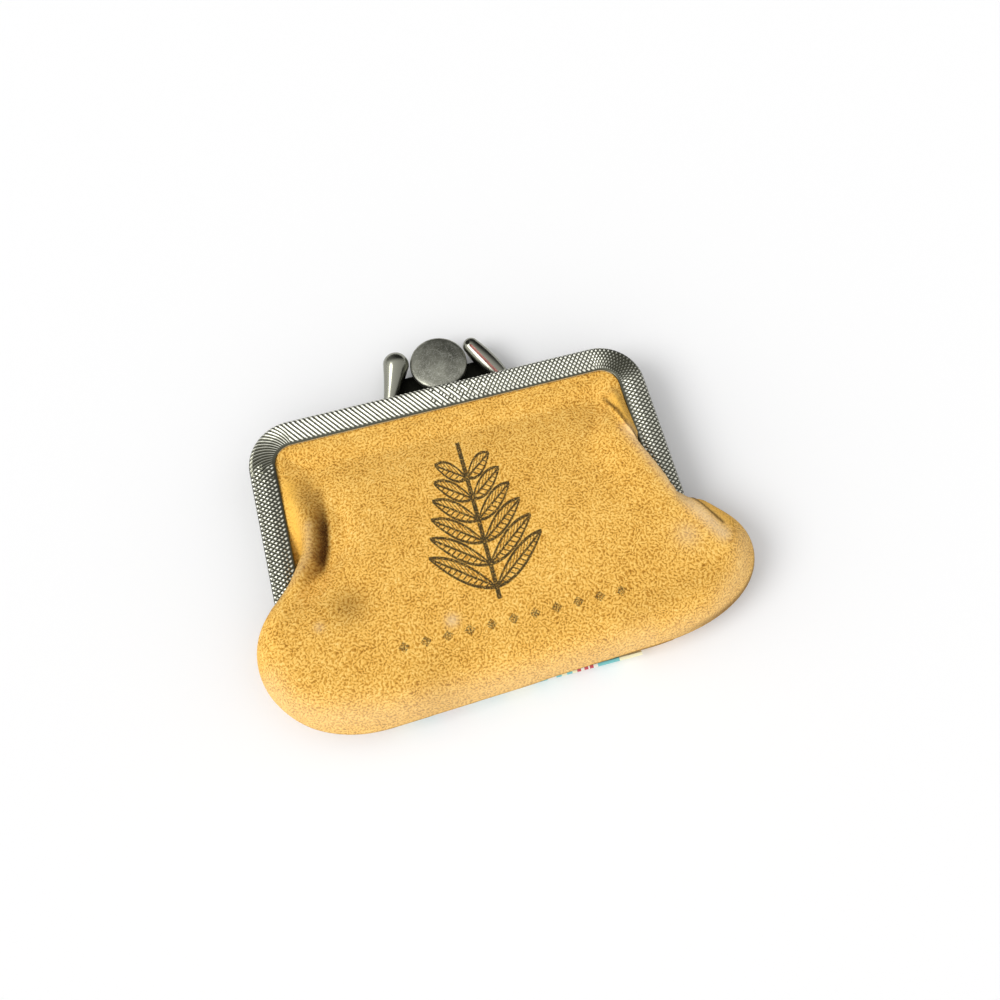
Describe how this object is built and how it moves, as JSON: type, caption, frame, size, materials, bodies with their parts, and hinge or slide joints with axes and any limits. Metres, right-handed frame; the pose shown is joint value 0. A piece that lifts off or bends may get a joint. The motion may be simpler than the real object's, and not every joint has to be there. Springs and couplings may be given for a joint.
{
  "type": "kiss-lock coin purse",
  "caption": "Small tan suede coin purse in a hinged knurled metal frame, shut by a round clasp between two prongs, with a striped woven band on its back.",
  "frame": {"origin": "under the middle of the whole purse, on the surface it lies on", "axes": "+X along the top bar of the frame, to the right as seen from the front panel; +Y from the bottom of the pouch to the clasp; +Z out of the front panel"},
  "size_m": [0.0914, 0.0722, 0.0132],
  "materials": {
    "frame_steel": "knurled dark nickel plate",
    "clasp_nickel": "worn dark nickel plate",
    "suede": "napped, rubbed on the folds",
    "band": "ribbed weave with stripes",
    "packing": "twisted cord"
  },
  "bodies": {
    "back_half": {"back_frame": "frame_steel", "back_panel": "suede", "woven_band": "band", "clasp_prong_left": "clasp_nickel", "clasp_prong_right": "clasp_nickel", "hinge_rivet_left": "clasp_nickel", "hinge_rivet_right": "clasp_nickel", "back_packing_cord": "packing"},
    "front_half": {"front_frame": "frame_steel", "clasp_disc": "clasp_nickel", "front_packing_cord": "packing", "front_panel": "suede"}
  },
  "joints": [
    {"name": "frame_hinge", "type": "hinge", "parent": "back_half", "child": "front_half", "pos_m": [-0.00215, -0.01298, 0.00535], "axis": [1, 0, 0], "range_deg": [0, 75], "deforming": ["front_panel"]}
  ]
}
